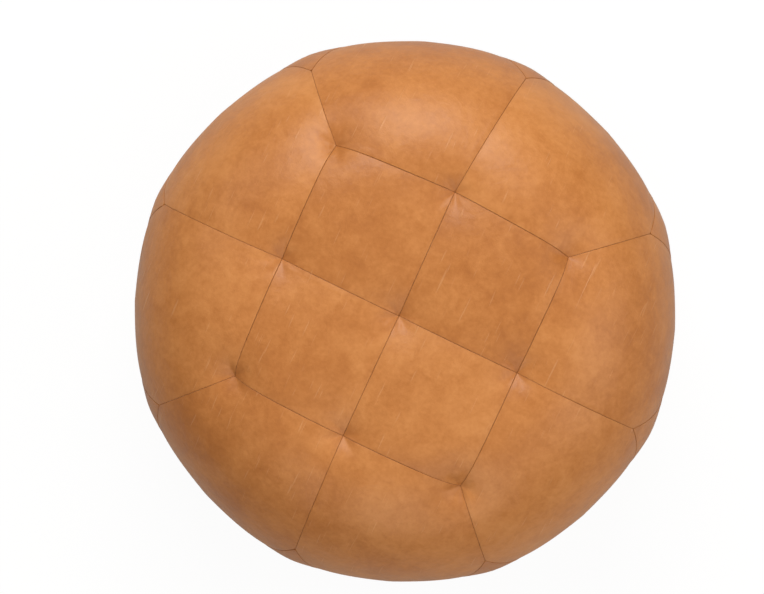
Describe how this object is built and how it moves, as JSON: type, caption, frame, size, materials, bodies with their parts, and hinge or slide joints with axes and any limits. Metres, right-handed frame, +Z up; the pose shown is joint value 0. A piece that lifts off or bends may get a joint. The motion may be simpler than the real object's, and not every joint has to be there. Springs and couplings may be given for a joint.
{
  "type": "leather pouf",
  "caption": "Round tufted leather pouf: patchwork cover with square and pentagonal panels, zigzag waist seam, zipped base and foam filling.",
  "frame": {"origin": "centre of the base, on the floor", "axes": "+Z up; +X and +Y along the seams of the square panels, with the middle of the zip on +Y"},
  "size_m": [0.6, 0.6, 0.37],
  "materials": {
    "leather": "satin",
    "thread": "waxed",
    "cotton": "matt weave",
    "fibre_wrap": "matt",
    "soft_foam": "matt open cell",
    "firm_foam": "matt open cell",
    "twine": "matt",
    "washer": "matt",
    "zip_tape": "matt",
    "zip_coil": "satin",
    "brass": "antique satin"
  },
  "bodies": {
    "pouf": {"top_panel_1": "leather", "top_panel_2": "leather", "top_panel_3": "leather", "top_panel_4": "leather", "upper_panel_1": "leather", "upper_panel_2": "leather", "upper_panel_3": "leather", "upper_panel_4": "leather", "upper_panel_5": "leather", "upper_panel_6": "leather", "upper_panel_7": "leather", "upper_panel_8": "leather", "lower_panel_1": "leather", "lower_panel_2": "leather", "lower_panel_3": "leather", "lower_panel_4": "leather", "lower_panel_5": "leather", "lower_panel_6": "leather", "lower_panel_7": "leather", "lower_panel_8": "leather", "base_panel": "leather", "seam_thread_top": "thread", "seam_thread_upper": "thread", "seam_thread_lower": "thread", "seam_thread_base": "thread", "zip_topstitch": "thread", "liner_cover": "cotton", "liner_base": "cotton", "pull_tabs": "cotton", "zip_guard": "cotton", "fibre_wrap_cover": "fibre_wrap", "fibre_wrap_base": "fibre_wrap", "foam_topper": "soft_foam", "foam_core": "firm_foam", "tufting_twines": "twine", "anchor_washers": "washer", "zip_tape_side": "zip_tape", "zip_tape_base": "zip_tape", "zip_coil_side": "zip_coil", "zip_coil_base": "zip_coil", "zip_end_stops": "brass"},
    "zip_slider": {"zip_slider": "brass"},
    "zip_pull": {"zip_pull": "brass"}
  },
  "joints": [
    {"name": "zip_travel", "type": "hinge", "parent": "pouf", "child": "zip_slider", "pos_m": [0, 0, 0.03275], "axis": [0, 0, 1], "range_deg": [0, 129]},
    {"name": "zip_pull_swing", "type": "hinge", "parent": "zip_slider", "child": "zip_pull", "pos_m": [0.22742, 0.10837, 0.03046], "axis": [-0.6915, -0.3295, -0.6428], "range_deg": [-80, 80]}
  ]
}
